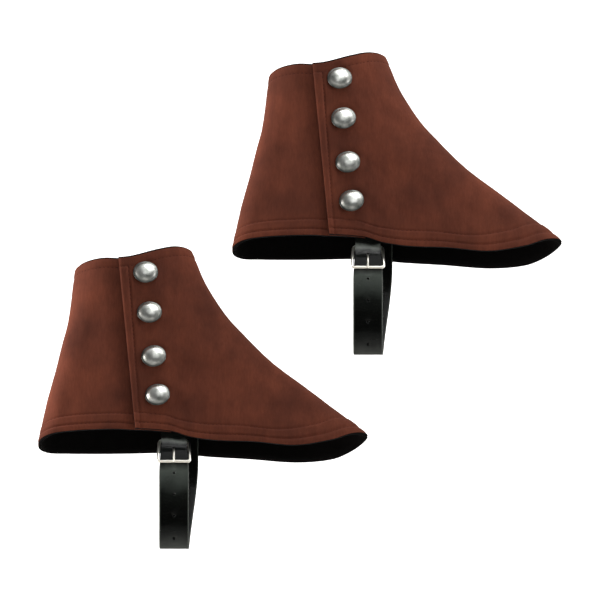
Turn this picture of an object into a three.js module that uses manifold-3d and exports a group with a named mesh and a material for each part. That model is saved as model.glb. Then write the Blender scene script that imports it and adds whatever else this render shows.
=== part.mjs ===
// A pair of cloth spats. Each one closes over the outer ankle with four snaps and is held down by a
// leather strap that runs under the shoe to a small buckle.
// Millimetres. +X points to the toe, -Y is the outer side with the snaps and +Z is up.
// The origin is the centre of the lower spat's ankle opening, where the leg holds it.
import * as THREE from 'three';
import { mergeVertices } from 'three/addons/utils/BufferGeometryUtils.js';
import Module from 'manifold-3d';

const wasm = await Module();
wasm.setup();

// ---- Cloth ----
const GAP = 0.3;
const WOOL_THICKNESS = 1.5;
const LINING_THICKNESS = 1.0;
const LINING_REVEAL = 0.4;
const LAYERS = WOOL_THICKNESS + GAP + LINING_THICKNESS;
const LAP_STEP = LAYERS + GAP;

// ---- The spat's outline from the side ----
// Seams as [height, x], from the hem up.
const BACK_SEAM = [[0, 0], [28, 5.6], [62, 14.2], [96, 21.9], [134, 26.8]];
const FRONT_SEAM = [
  [6.9, 236.3], [16.9, 224.4], [35.5, 200.9], [63.1, 167.4], [91.2, 141], [118.6, 122.4], [149, 109.8],
];
// Edges as [part of the way from heel to toe, height].
const OUTER_HEM = [
  [0, 0], [0.09, 2], [0.27, 2.9], [0.4, 2], [0.46, -2.2], [0.53, -4.4], [0.65, -5.6], [0.78, -8.4],
  [0.89, -3.4], [0.95, 3], [1, 6.9],
];
const INNER_HEM = [
  [0, 0], [0.09, 1.8], [0.27, 2.5], [0.4, 2.4], [0.53, -1.2], [0.65, -3], [0.78, -5.2], [0.89, -3.6],
  [0.95, 1], [1, 6.9],
];
const TOP_EDGE = [[0, 134], [0.25, 134], [0.45, 133.9], [0.7, 141.2], [0.85, 145.9], [1, 149]];

// ---- Its width from above ----
// Each ring is an ellipse whose half width changes along it, as [part of the way, half width].
const HEM_FULLNESS = [[0, 58], [0.09, 38], [0.27, 26.5], [0.53, 20.8], [0.66, 22], [0.84, 28], [1, 37.5]];
const TOP_FULLNESS = [[0, 34], [0.5, 28], [1, 26]];

// ---- The snap flap ----
const FLAP_EDGE_AT_HEM = 69.9;
const FLAP_EDGE_AT_TOP = 57.6;
const UNDERLAP = 26;
const FLAP_LIFT = 1.5;
const DIP_LENGTH = 14;

// ---- Snaps ----
const SNAP_HEIGHTS = [28.6, 58, 91.5, 122];
const SNAP_SETBACK = 18.2;
const CAP_RADIUS = 8.9;
const CAP_RIM = 0.9;
const CAP_HEIGHT = 3.6;
const POST_RADIUS = 5;
const POST_HEIGHT = 1.1;
const POST_DIMPLE = 1.8;

// ---- Strap and buckle, as [y, z] where they are seen from the heel ----
const STRAP_WIDTH = 21.2;
const STRAP_THICKNESS = 1.6;
const TAIL_WIDTH = 18.2;
const STRAP_X = 97.4;
const STRAP_FAR_X = 104.3;
const STRAP_ROUTE = [
  [-14.3, 12], [-14.3, -1], [-15.95, -20], [-14.2, -37], [-10.4, -56], [-6.4, -71.5], [0, -79.3],
  [6.4, -71.5], [11, -50], [14.6, -24], [16.6, 0], [17.2, 14],
];
const STRAP_HOLE_RADIUS = 1.2;
const STRAP_HOLE_COUNT = 4;
const STRAP_HOLE_PITCH = 15.7;
const FIRST_HOLE_FROM_TAIL = 40;
const UPPER_BAR = [-10.5, -1];
const LOWER_BAR = [-18, -20];
const BAR_RADIUS = 0.95;
const FRAME_TOP_HALF = 10.4;
const FRAME_BOTTOM_HALF = 11.6;
const FRAME_CORNER = 2.6;
const PRONG_RADIUS = 0.75;
const PRONG_HOLE_RADIUS = 1.15;
const PRONG_SHAFT = [[-12.6, -5.2], [-13.6, -8], [-17.3, -12], [-19.3, -16], [-20, -19.5], [-20.1, -21.4]];
const TAB_WIDTH = 17.4;
const TAB_THICKNESS = 1.2;
const TAB_TOP = 12;
const TAB_SLOT_WIDTH = 2.6;
const TAB_SLOT_RISE = 5;

// ---- The pair: the second spat stands ahead of the first and above it ----
const PAIR_STEP = new THREE.Vector3(138.6, 0, 149.5);
const ANKLE_CENTRE = new THREE.Vector3(68.6, 0, 139);

// ---- Facets ----
const ROWS = 8;
const BACK_COLUMNS = 12;
const FRONT_COLUMNS = 12;
const INNER_COLUMNS = 20;
const STRAP_STEPS = 40;
const TAB_STEPS = 22;
const CAP_SIDES = 20;
const POST_SIDES = 12;
const WIRE_SIDES = 8;
const RIM_SAMPLES = 16;

const FINISHES = {
  wool: { color: 0x6b3a2c, roughness: 0.95, metalness: 0 },
  lining: { color: 0x0c0a0a, roughness: 0.9, metalness: 0 },
  leather: { color: 0x141614, roughness: 0.35, metalness: 0 },
  snap: { color: 0x9a9c98, roughness: 0.35, metalness: 1 },
  nickel: { color: 0xd4d2c8, roughness: 0.2, metalness: 1 },
};

const OUTER = -1;
const INNER = 1;
const lerp = THREE.MathUtils.lerp;
const smoothstep = THREE.MathUtils.smoothstep;

// A smooth curve through a few points; the slope at each one comes from its two neighbours.
function smoothCurve(points) {
  const slopes = points.map((point, i) => {
    const before = points[Math.max(i - 1, 0)];
    const after = points[Math.min(i + 1, points.length - 1)];
    return (after[1] - before[1]) / (after[0] - before[0]);
  });
  return (at) => {
    let i = 0;
    while (i < points.length - 2 && at > points[i + 1][0]) {
      i += 1;
    }
    const span = points[i + 1][0] - points[i][0];
    const t = (at - points[i][0]) / span;
    const rise = points[i + 1][1] - points[i][1];
    const bend = slopes[i] * span - rise;
    const bendAfter = rise - slopes[i + 1] * span;
    return points[i][1] + t * rise + t * (1 - t) * (bend * (1 - t) + bendAfter * t);
  };
}

const backSeam = smoothCurve(BACK_SEAM);
const frontSeam = smoothCurve(FRONT_SEAM);
const outerHem = smoothCurve(OUTER_HEM);
const innerHem = smoothCurve(INNER_HEM);
const topEdge = smoothCurve(TOP_EDGE);
const hemFullness = smoothCurve(HEM_FULLNESS);
const topFullness = smoothCurve(TOP_FULLNESS);

// ---- The spat's surface: rings from heel to toe, stacked from the hem (rise 0) to the top (rise 1) ----

function ringHeight(along, rise, side) {
  const hem = side === OUTER ? outerHem(along) : innerHem(along);
  return lerp(hem, topEdge(along), rise);
}

function ringEnds(rise) {
  return [backSeam(ringHeight(0, rise, OUTER)), frontSeam(ringHeight(1, rise, OUTER))];
}

function fullness(along, rise) {
  return lerp(hemFullness(along), topFullness(along), rise);
}

// turn runs from 0 at the back seam to PI at the front seam.
function ringPoint(turn, rise, side) {
  const along = (1 - Math.cos(turn)) / 2;
  const [backX, frontX] = ringEnds(rise);
  const halfWidth = fullness(along, rise) * Math.sin(turn);
  return new THREE.Vector3(lerp(backX, frontX, along), side * halfWidth, ringHeight(along, rise, side));
}

function surfaceNormal(turn, rise, side) {
  const step = 0.004;
  const acrossRing = ringPoint(turn + step, rise, side).sub(ringPoint(turn - step, rise, side));
  const upRing = ringPoint(turn, rise + step, side).sub(ringPoint(turn, rise - step, side));
  return acrossRing.cross(upRing).multiplyScalar(-side).normalize();
}

function surfacePoint(turn, rise, side, offset) {
  return ringPoint(turn, rise, side).addScaledVector(surfaceNormal(turn, rise, side), offset);
}

// ---- Edges of the panels, as the turn at each rise ----

const turnFromAlong = (along) => Math.acos(1 - 2 * along);
const backSeamTurn = (rise) => Math.asin(GAP / 2 / fullness(0, rise));
const frontSeamTurn = (rise) => Math.PI - Math.asin(GAP / 2 / fullness(1, rise));
const flapEdge = (z) => lerp(FLAP_EDGE_AT_HEM, FLAP_EDGE_AT_TOP, z / topEdge(0));

function turnAtEdge(rise, side, edge) {
  const [backX, frontX] = ringEnds(rise);
  let along = 0.4;
  for (let pass = 0; pass < 8; pass += 1) {
    along = (edge(ringHeight(along, rise, side)) - backX) / (frontX - backX);
  }
  return turnFromAlong(along);
}

// The turn and rise of the point on one side at a given x and z.
function locate(x, z, side) {
  let along = 0.4;
  let rise = 0.3;
  for (let pass = 0; pass < 20; pass += 1) {
    const hem = ringHeight(along, 0, side);
    rise = (z - hem) / (ringHeight(along, 1, side) - hem);
    const [backX, frontX] = ringEnds(rise);
    along = (x - backX) / (frontX - backX);
  }
  return [turnFromAlong(along), rise];
}

// ---- How far each outer panel stands off the surface beside the flap's edge ----

const lapDistance = (point) => point.x - flapEdge(point.z);
const flapOffset = (distance) => FLAP_LIFT * (1 - smoothstep(distance, 0, UNDERLAP));

function underlapOffset(distance) {
  if (distance > 0) {
    return flapOffset(distance) - LAP_STEP;
  }
  return -(LAP_STEP - FLAP_LIFT) * smoothstep(distance, -DIP_LENGTH, 0);
}

// ---- Solids ----

function volume(geometry) {
  const position = geometry.attributes.position;
  const index = geometry.index.array;
  const [a, b, c] = [new THREE.Vector3(), new THREE.Vector3(), new THREE.Vector3()];
  let total = 0;
  for (let i = 0; i < index.length; i += 3) {
    a.fromBufferAttribute(position, index[i]);
    b.fromBufferAttribute(position, index[i + 1]);
    c.fromBufferAttribute(position, index[i + 2]);
    total += a.dot(b.cross(c)) / 6;
  }
  return total;
}

// Merges the shared points and turns the faces outwards.
function closed(geometry) {
  geometry.deleteAttribute('normal');
  geometry.deleteAttribute('uv');
  const merged = mergeVertices(geometry, 1e-4);
  if (volume(merged) < 0) {
    merged.index.array.reverse();
  }
  return merged;
}

// Joins rows of points into a closed skin: each section is a loop, and the first and last are capped.
function skin(sections) {
  const count = sections[0].length;
  const positions = sections.flat().flatMap((point) => point.toArray());
  const triangles = [];
  for (let s = 0; s < sections.length - 1; s += 1) {
    for (let i = 0; i < count; i += 1) {
      const [a, b] = [s * count + i, s * count + ((i + 1) % count)];
      triangles.push(a, b, b + count, a, b + count, a + count);
    }
  }
  return { count, positions, triangles };
}

function geometryFrom(positions, triangles) {
  const geometry = new THREE.BufferGeometry();
  geometry.setAttribute('position', new THREE.Float32BufferAttribute(positions, 3));
  geometry.setIndex(triangles);
  return closed(geometry);
}

// A wall of cloth. Each row of points is a loop: out along the outer face and back along the inner one.
function clothPanel({ side, startTurn, endTurn, columns, offsetAt, thickness, reveal }) {
  const margin = reveal / topEdge(0);
  const sections = [];
  for (let row = 0; row <= ROWS; row += 1) {
    const rise = lerp(margin, 1 - margin, row / ROWS);
    const face = (depth) =>
      Array.from({ length: columns + 1 }, (_, column) => {
        const turn = lerp(startTurn(rise), endTurn(rise), column / columns);
        const offset = offsetAt(ringPoint(turn, rise, side)) - depth;
        return surfacePoint(turn, rise, side, offset);
      });
    sections.push([...face(0), ...face(thickness).reverse()]);
  }
  const { count, positions, triangles } = skin(sections);
  for (const [section, flip] of [[0, true], [sections.length - 1, false]]) {
    const first = section * count;
    for (let i = 0; i < columns; i += 1) {
      const [a, b] = [first + i, first + i + 1];
      const [c, d] = [first + count - 2 - i, first + count - 1 - i];
      triangles.push(...(flip ? [a, c, b, a, d, c] : [a, b, c, a, c, d]));
    }
  }
  return geometryFrom(positions, triangles);
}

// A flat strap along a route of [y, z] points, with its middle's x and its width given at each step.
function strapGeometry(route, steps, thickness, middleAt, widthAt) {
  const curve = new THREE.CatmullRomCurve3(route.map(([y, z]) => new THREE.Vector3(0, y, z)));
  const sections = [];
  for (let step = 0; step <= steps; step += 1) {
    const part = step / steps;
    const point = curve.getPointAt(part);
    const tangent = curve.getTangentAt(part);
    const across = new THREE.Vector3(0, -tangent.z, tangent.y).multiplyScalar(thickness / 2);
    const half = widthAt(part) / 2;
    const corner = (x, y) =>
      new THREE.Vector3(middleAt(part) + x * half, 0, 0).add(point).addScaledVector(across, y);
    sections.push([corner(-1, -1), corner(1, -1), corner(1, 1), corner(-1, 1)]);
  }
  const { count, positions, triangles } = skin(sections);
  const last = steps * count;
  triangles.push(0, 2, 1, 0, 3, 2, last, last + 1, last + 2, last, last + 2, last + 3);
  return { curve, geometry: geometryFrom(positions, triangles) };
}

// A round wire bent into a closed flat loop.
function wireLoop(points, planeNormal, radius) {
  const sections = points.map((point, i) => {
    const before = points[(i + points.length - 1) % points.length];
    const after = points[(i + 1) % points.length];
    const outward = after.clone().sub(before).cross(planeNormal).normalize();
    return Array.from({ length: WIRE_SIDES }, (_, side) => {
      const angle = (2 * Math.PI * side) / WIRE_SIDES;
      return point
        .clone()
        .addScaledVector(outward, radius * Math.cos(angle))
        .addScaledVector(planeNormal, radius * Math.sin(angle));
    });
  });
  const { positions, triangles } = skin([...sections, sections[0]]);
  return geometryFrom(positions, triangles);
}

function wireAlong(points, radius) {
  const circle = new THREE.Shape().absarc(0, 0, radius, 0, 2 * Math.PI);
  const extrudePath = new THREE.CatmullRomCurve3(points);
  return closed(
    new THREE.ExtrudeGeometry(circle, { steps: 2 * points.length, curveSegments: 4, extrudePath }),
  );
}

function toManifold(geometry) {
  return new wasm.Manifold(
    new wasm.Mesh({
      numProp: 3,
      vertProperties: new Float32Array(geometry.attributes.position.array),
      triVerts: new Uint32Array(geometry.index.array),
    }),
  );
}

function cut(geometry, tools) {
  const result = tools.reduce((solid, tool) => solid.subtract(toManifold(tool)), toManifold(geometry));
  const mesh = result.getMesh();
  return geometryFrom(Array.from(mesh.vertProperties), Array.from(mesh.triVerts));
}

// A punch that runs along a direction through a point.
function punch(radius, length, at, direction) {
  const tool = new THREE.CylinderGeometry(radius, radius, length, 12);
  const turned = new THREE.Quaternion().setFromUnitVectors(new THREE.Vector3(0, 1, 0), direction);
  return closed(tool.applyQuaternion(turned).translate(at.x, at.y, at.z));
}

// ---- Cloth pieces ----

const noOffset = () => 0;
const underlapEdge = (z) => flapEdge(z) + UNDERLAP;
const flapTurn = (rise) => turnAtEdge(rise, OUTER, flapEdge);
const underlapTurn = (rise) => turnAtEdge(rise, OUTER, underlapEdge);

const PANELS = {
  outer_back: {
    side: OUTER,
    startTurn: backSeamTurn,
    endTurn: underlapTurn,
    columns: BACK_COLUMNS,
    offsetAt: (point) => underlapOffset(lapDistance(point)),
  },
  outer_front: {
    side: OUTER,
    startTurn: flapTurn,
    endTurn: frontSeamTurn,
    columns: FRONT_COLUMNS,
    offsetAt: (point) => flapOffset(lapDistance(point)),
  },
  inner_side: {
    side: INNER,
    startTurn: backSeamTurn,
    endTurn: frontSeamTurn,
    columns: INNER_COLUMNS,
    offsetAt: noOffset,
  },
};

const woolPanel = (panel) => clothPanel({ ...panel, thickness: WOOL_THICKNESS, reveal: 0 });

function liningPanel(panel) {
  const offsetAt = (point) => panel.offsetAt(point) - WOOL_THICKNESS - GAP;
  return clothPanel({ ...panel, offsetAt, thickness: LINING_THICKNESS, reveal: LINING_REVEAL });
}

// ---- Snaps ----

function capProfile() {
  const arc = 6;
  const points = [new THREE.Vector2(0, 0), new THREE.Vector2(CAP_RADIUS, 0)];
  for (let i = 0; i <= arc; i += 1) {
    const angle = (Math.PI / 2) * (i / arc);
    const height = CAP_RIM + (CAP_HEIGHT - CAP_RIM) * Math.sin(angle);
    points.push(new THREE.Vector2(i === arc ? 0 : CAP_RADIUS * Math.cos(angle), height));
  }
  return points;
}

function postProfile() {
  return [
    [0, 0], [POST_RADIUS, 0], [POST_RADIUS, POST_HEIGHT], [POST_DIMPLE, POST_HEIGHT],
    [POST_DIMPLE, POST_HEIGHT / 2], [0, POST_HEIGHT / 2],
  ].map(([radius, height]) => new THREE.Vector2(radius, height));
}

// Turns a lathe-made piece so that its axis leaves the cloth, outwards or inwards, and lifts it until
// its rim clears the curve of the cloth by a gap.
function seatOnCloth(geometry, snapHeight, faceOffset, outwards, radius) {
  const snapX = flapEdge(snapHeight) + SNAP_SETBACK;
  const facePoint = (x, z) => {
    const [turn, rise] = locate(x, z, OUTER);
    return surfacePoint(turn, rise, OUTER, faceOffset(lapDistance(new THREE.Vector3(x, 0, z))));
  };
  const axis = surfaceNormal(...locate(snapX, snapHeight, OUTER), OUTER).multiplyScalar(outwards);
  const seat = facePoint(snapX, snapHeight);
  let lift = 0;
  for (let i = 0; i < RIM_SAMPLES; i += 1) {
    const angle = (2 * Math.PI * i) / RIM_SAMPLES;
    const rim = facePoint(snapX + radius * Math.cos(angle), snapHeight + radius * Math.sin(angle));
    lift = Math.max(lift, rim.sub(seat).dot(axis));
  }
  seat.addScaledVector(axis, lift + GAP);
  const turned = new THREE.Quaternion().setFromUnitVectors(new THREE.Vector3(0, 1, 0), axis);
  return geometry.applyQuaternion(turned).translate(seat.x, seat.y, seat.z);
}

function snapCap(snapHeight) {
  const cap = closed(new THREE.LatheGeometry(capProfile(), CAP_SIDES));
  return seatOnCloth(cap, snapHeight, flapOffset, 1, CAP_RADIUS);
}

function snapPost(snapHeight) {
  const post = closed(new THREE.LatheGeometry(postProfile(), POST_SIDES));
  const innerFace = (distance) => underlapOffset(distance) - LAYERS;
  return seatOnCloth(post, snapHeight, innerFace, -1, POST_RADIUS);
}

// ---- Strap and buckle ----

// The strap narrows to its tail, and its far end is sewn in nearer the toe.
const strapWidth = (part) => lerp(TAIL_WIDTH, STRAP_WIDTH, smoothstep(part, 0.06, 0.22));
const strapMiddle = (part) => lerp(STRAP_X, STRAP_FAR_X, smoothstep(part, 0.45, 0.9));

function prongPoints() {
  const loopRadius = BAR_RADIUS + PRONG_RADIUS + GAP;
  const points = [];
  for (const degrees of [-60, -10, 40, 90, 135, 180]) {
    const angle = THREE.MathUtils.degToRad(degrees);
    points.push([UPPER_BAR[0] + loopRadius * Math.cos(angle), UPPER_BAR[1] + loopRadius * Math.sin(angle)]);
  }
  return [...points, ...PRONG_SHAFT].map(([y, z]) => new THREE.Vector3(STRAP_X, y, z));
}

function strap() {
  const { curve, geometry } = strapGeometry(
    STRAP_ROUTE, STRAP_STEPS, STRAP_THICKNESS, strapMiddle, strapWidth,
  );
  const length = curve.getLength();
  const holes = Array.from({ length: STRAP_HOLE_COUNT }, (_, i) => {
    const part = (FIRST_HOLE_FROM_TAIL + i * STRAP_HOLE_PITCH) / length;
    const at = curve.getPointAt(part).setX(strapMiddle(part));
    const tangent = curve.getTangentAt(part);
    return punch(STRAP_HOLE_RADIUS, 6, at, new THREE.Vector3(0, -tangent.z, tangent.y));
  });
  const [before, after] = PRONG_SHAFT.slice(1, 3).map(([y, z]) => new THREE.Vector3(STRAP_X, y, z));
  const middle = before.clone().lerp(after, 0.5);
  const prongHole = punch(PRONG_HOLE_RADIUS, 8, middle, after.sub(before).normalize());
  return cut(geometry, [...holes, prongHole]);
}

// A short leather loop round the buckle's upper bar, with a slot for the prong.
function buckleTab() {
  const loopRadius = BAR_RADIUS + GAP + TAB_THICKNESS / 2;
  const front = UPPER_BAR[0] - loopRadius;
  const back = front + TAB_THICKNESS + GAP;
  const [barY, barZ] = UPPER_BAR;
  const route = [
    [front, TAB_TOP], [front, 6], [front, barZ + 1],
    [barY - loopRadius * Math.SQRT1_2, barZ - loopRadius * Math.SQRT1_2], [barY, barZ - loopRadius],
    [barY + loopRadius * Math.SQRT1_2, barZ - loopRadius * Math.SQRT1_2],
    [barY + loopRadius, barZ + 0.4], [back + 0.5, 6], [back, TAB_TOP],
  ];
  const { geometry } = strapGeometry(route, TAB_STEPS, TAB_THICKNESS, () => STRAP_X, () => TAB_WIDTH);
  const slotHeight = 2 * loopRadius + TAB_SLOT_RISE;
  const slot = new THREE.BoxGeometry(TAB_SLOT_WIDTH, 4 * loopRadius, slotHeight);
  slot.translate(STRAP_X, barY, barZ + TAB_SLOT_RISE / 2 - loopRadius);
  return cut(geometry, [closed(slot)]);
}

// A wire rectangle, a little wider at its lower bar, leaning forward at the bottom.
function buckleFrame() {
  const top = new THREE.Vector3(STRAP_X, ...UPPER_BAR);
  const down = new THREE.Vector3(STRAP_X, ...LOWER_BAR).sub(top);
  const length = down.length();
  down.normalize();
  const sideways = new THREE.Vector3(1, 0, 0);
  const outline = new THREE.Path();
  const corners = [
    [-FRAME_TOP_HALF, 0], [FRAME_TOP_HALF, 0], [FRAME_BOTTOM_HALF, length], [-FRAME_BOTTOM_HALF, length],
  ].map(([x, y]) => new THREE.Vector2(x, y));
  corners.forEach((corner, i) => {
    const toNext = corners[(i + 1) % 4].clone().sub(corner).setLength(FRAME_CORNER);
    const toLast = corners[(i + 3) % 4].clone().sub(corner).setLength(FRAME_CORNER);
    const start = corner.clone().add(toLast);
    const end = corner.clone().add(toNext);
    if (i === 0) {
      outline.moveTo(start.x, start.y);
    } else {
      outline.lineTo(start.x, start.y);
    }
    outline.quadraticCurveTo(corner.x, corner.y, end.x, end.y);
  });
  const loop = outline
    .getPoints(4)
    .map((p) => top.clone().addScaledVector(sideways, p.x).addScaledVector(down, p.y));
  return wireLoop(loop, sideways.clone().cross(down), BAR_RADIUS);
}

// ---- Assembly ----

function piece(name, geometry, finish) {
  const mesh = new THREE.Mesh(geometry, new THREE.MeshStandardMaterial(FINISHES[finish]));
  mesh.name = name;
  return mesh;
}

function spat(prefix) {
  const group = new THREE.Group();
  for (const [name, panel] of Object.entries(PANELS)) {
    group.add(piece(`${prefix}_${name}`, woolPanel(panel), 'wool'));
    group.add(piece(`${prefix}_${name}_lining`, liningPanel(panel), 'lining'));
  }
  SNAP_HEIGHTS.forEach((height, i) => {
    group.add(piece(`${prefix}_snap_cap_${i + 1}`, snapCap(height), 'snap'));
    group.add(piece(`${prefix}_snap_post_${i + 1}`, snapPost(height), 'snap'));
  });
  group.add(piece(`${prefix}_strap`, strap(), 'leather'));
  group.add(piece(`${prefix}_buckle_tab`, buckleTab(), 'leather'));
  group.add(piece(`${prefix}_buckle_frame`, buckleFrame(), 'nickel'));
  group.add(piece(`${prefix}_buckle_prong`, wireAlong(prongPoints(), PRONG_RADIUS), 'nickel'));
  return group;
}

const pair = new THREE.Group();
const lowSpat = spat('spat_a');
lowSpat.position.copy(ANKLE_CENTRE).negate();
const highSpat = spat('spat_b');
highSpat.position.copy(PAIR_STEP).sub(ANKLE_CENTRE);
pair.add(lowSpat, highSpat);

export default pair;
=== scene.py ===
# %% [markdown]
# # A pair of spats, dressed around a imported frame
# A spat is a cloth cover for the ankle and the top of a shoe. This pair is cut from brushed wool, lined in
# black, closed with four cap snaps and held down by a leather strap under the shoe. The CAD frame gives the
# place and size of every piece. This file gives each one its finished surface.

# %% Load the frame
import math

import bmesh
import bpy
from mathutils import Matrix, Vector, noise


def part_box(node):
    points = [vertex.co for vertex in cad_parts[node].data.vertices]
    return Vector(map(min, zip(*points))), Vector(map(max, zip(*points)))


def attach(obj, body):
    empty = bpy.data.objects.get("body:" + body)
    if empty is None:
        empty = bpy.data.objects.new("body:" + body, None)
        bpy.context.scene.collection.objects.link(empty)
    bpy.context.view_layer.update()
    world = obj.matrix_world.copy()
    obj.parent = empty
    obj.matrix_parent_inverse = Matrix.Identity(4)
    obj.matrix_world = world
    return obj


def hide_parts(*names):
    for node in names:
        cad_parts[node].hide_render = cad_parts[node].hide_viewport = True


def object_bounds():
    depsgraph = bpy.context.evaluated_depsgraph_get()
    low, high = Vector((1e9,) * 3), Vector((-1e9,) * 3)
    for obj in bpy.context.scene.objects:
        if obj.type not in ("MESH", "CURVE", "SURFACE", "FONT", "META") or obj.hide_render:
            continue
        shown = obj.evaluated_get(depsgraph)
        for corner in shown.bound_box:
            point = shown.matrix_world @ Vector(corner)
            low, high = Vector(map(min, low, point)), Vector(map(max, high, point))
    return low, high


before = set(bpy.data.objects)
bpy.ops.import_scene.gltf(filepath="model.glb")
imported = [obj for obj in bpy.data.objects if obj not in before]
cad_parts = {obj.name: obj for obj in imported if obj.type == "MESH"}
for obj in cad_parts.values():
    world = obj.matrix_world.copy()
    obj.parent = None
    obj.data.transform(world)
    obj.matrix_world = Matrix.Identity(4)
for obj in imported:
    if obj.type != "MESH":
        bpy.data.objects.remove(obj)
cad_bounds = [list(corner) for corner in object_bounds()]
MM = 0.001
PAIR_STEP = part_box("spat_b_strap")[0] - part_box("spat_a_strap")[0]
print("frame:", len(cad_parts), "nodes; the second spat is", [round(x, 4) for x in PAIR_STEP], "m away")

# %% [markdown]
# ## Camera
# The spats are seen a little from below, so the dark inside of each hem shows. A camera without perspective
# keeps both of the pair the same size, as two pictures of one product do.

# %% Camera
VIEW_ELEVATION = math.radians(-22)
VIEW_WIDTH = 0.42857
VIEW_DISTANCE = 1.5
AIM_LIFT = 0.0016


def look_at(obj, place, target):
    """Puts a camera or lamp at a place and turns it to a target."""
    obj.location = place
    obj.rotation_euler = (Vector(target) - Vector(place)).to_track_quat("-Z", "Y").to_euler()
    bpy.context.collection.objects.link(obj)


middle = (Vector(cad_bounds[0]) + Vector(cad_bounds[1])) / 2
aim = middle + Vector((0, 0, AIM_LIFT))
towards_object = Vector((0, math.cos(VIEW_ELEVATION), -math.sin(VIEW_ELEVATION)))
camera = bpy.data.objects.new("camera", bpy.data.cameras.new("camera"))
camera.data.type = "ORTHO"
camera.data.ortho_scale = VIEW_WIDTH
look_at(camera, aim - towards_object * VIEW_DISTANCE, aim)
bpy.context.scene.camera = camera
print("camera aims at", [round(x, 4) for x in aim])

# %% [markdown]
# ## Materials
# Every finish is a small node tree. One function turns sRGB hex colours to linear ones, one starts a
# material, and one adds a node with its settings and links.

# %% Material helpers
def linear(hex_colour):
    """An sRGB colour such as '7b432f' as linear RGBA."""
    channels = [int(hex_colour[i:i + 2], 16) / 255 for i in (0, 2, 4)]
    return [c / 12.92 if c <= 0.04045 else ((c + 0.055) / 1.055) ** 2.4 for c in channels] + [1.0]


def add_node(tree, kind, inputs=None, **settings):
    """Adds a node. inputs gives each socket a value, or another node's output to link."""
    made = tree.nodes.new(kind)
    for setting, value in settings.items():
        setattr(made, setting, value)
    for socket, value in (inputs or {}).items():
        if isinstance(value, bpy.types.NodeSocket):
            tree.links.new(value, made.inputs[socket])
        else:
            made.inputs[socket].default_value = value
    return made


def start_material(name, values):
    """A new material and its Principled shader, with plain values on the shader's own sockets."""
    material = bpy.data.materials.new(name)
    material.use_nodes = True
    shader = material.node_tree.nodes["Principled BSDF"]
    for socket, value in values.items():
        shader.inputs[socket].default_value = value
    return material, material.node_tree, shader


def fill_ramp(ramp, stops):
    """Gives a colour ramp its stops, as (position, linear colour)."""
    for number, (position, colour) in enumerate(stops):
        stop = ramp.elements[number] if number < 2 else ramp.elements.new(position)
        stop.position, stop.color = position, colour


def per_metre(millimetres):
    """The texture scale that makes one feature about this many millimetres wide."""
    return 1000 / millimetres


print("sRGB 603224 in linear light:", [round(channel, 4) for channel in linear("603224")])

# %% [markdown]
# Brushed wool flannel: a fulled twill whose nap is brushed one way. The eye sees a matt red brown with soft
# darker and lighter clouds, short fibres, and a pale bloom where the nap catches light at the edges. The
# twill shows faintly, and is drawn a little coarser than real so that it shows at all.

# %% Brushed wool
def brushed_wool():
    material, tree, shader = start_material("brushed_wool", {
        "Roughness": 0.95, "Specular IOR Level": 0.12,
        "Sheen Weight": 0.3, "Sheen Roughness": 0.35, "Sheen Tint": linear("b5603f"),
    })
    place = add_node(tree, "ShaderNodeTexCoord").outputs["Object"]
    brushing = add_node(tree, "ShaderNodeMapping", {"Vector": place, "Scale": (1, 1, 0.22)})
    clouds = add_node(tree, "ShaderNodeTexNoise", {"Vector": place, "Scale": per_metre(30), "Detail": 4})
    nap = add_node(tree, "ShaderNodeTexNoise", {
        "Vector": brushing.outputs[0], "Scale": per_metre(1.1), "Detail": 4, "Roughness": 0.6})
    streaks = add_node(tree, "ShaderNodeTexNoise", {
        "Vector": brushing.outputs[0], "Scale": per_metre(7), "Detail": 3, "Roughness": 0.55})
    uv = add_node(tree, "ShaderNodeUVMap", uv_map="UVMap").outputs[0]
    twill = add_node(tree, "ShaderNodeTexWave", {
        "Vector": uv, "Scale": per_metre(1.3) / 20, "Distortion": 1.5, "Detail": 2,
        "Detail Scale": 6}, bands_direction="DIAGONAL")
    cloud_paint = add_node(tree, "ShaderNodeValToRGB", {"Fac": clouds.outputs[0]})
    fill_ramp(cloud_paint.color_ramp, [(0.3, linear("4a261c")), (0.7, linear("603224"))])
    both = add_node(tree, "ShaderNodeMath", {0: nap.outputs[0], 1: streaks.outputs[0]}, operation="ADD")
    nap_paint = add_node(tree, "ShaderNodeValToRGB", {
        "Fac": add_node(tree, "ShaderNodeMath", {
            0: both.outputs[0], 1: 0.5}, operation="MULTIPLY").outputs[0]})
    fill_ramp(nap_paint.color_ramp, [(0.32, (0.8, 0.79, 0.79, 1)), (0.68, (1.16, 1.15, 1.12, 1))])
    mixed = add_node(tree, "ShaderNodeMix", data_type="RGBA", blend_type="MULTIPLY")
    mixed.inputs["Factor"].default_value = 1
    tree.links.new(cloud_paint.outputs[0], mixed.inputs["A"])
    tree.links.new(nap_paint.outputs[0], mixed.inputs["B"])
    tree.links.new(mixed.outputs["Result"], shader.inputs["Base Color"])
    height = add_node(tree, "ShaderNodeMath", {
        0: nap.outputs[0], 1: 1.0, 2: twill.outputs[0]}, operation="MULTIPLY_ADD")
    bump = add_node(tree, "ShaderNodeBump", {"Height": height.outputs[0], "Strength": 0.3, "Distance": 4e-4})
    tree.links.new(bump.outputs[0], shader.inputs["Normal"])
    return material


WOOL = brushed_wool()
print("brushed wool:", len(WOOL.node_tree.nodes), "nodes")

# %% [markdown]
# The lining is plain black cotton. It takes almost no light, so only its fine plain weave shows when a
# view looks right into the spat.

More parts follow.
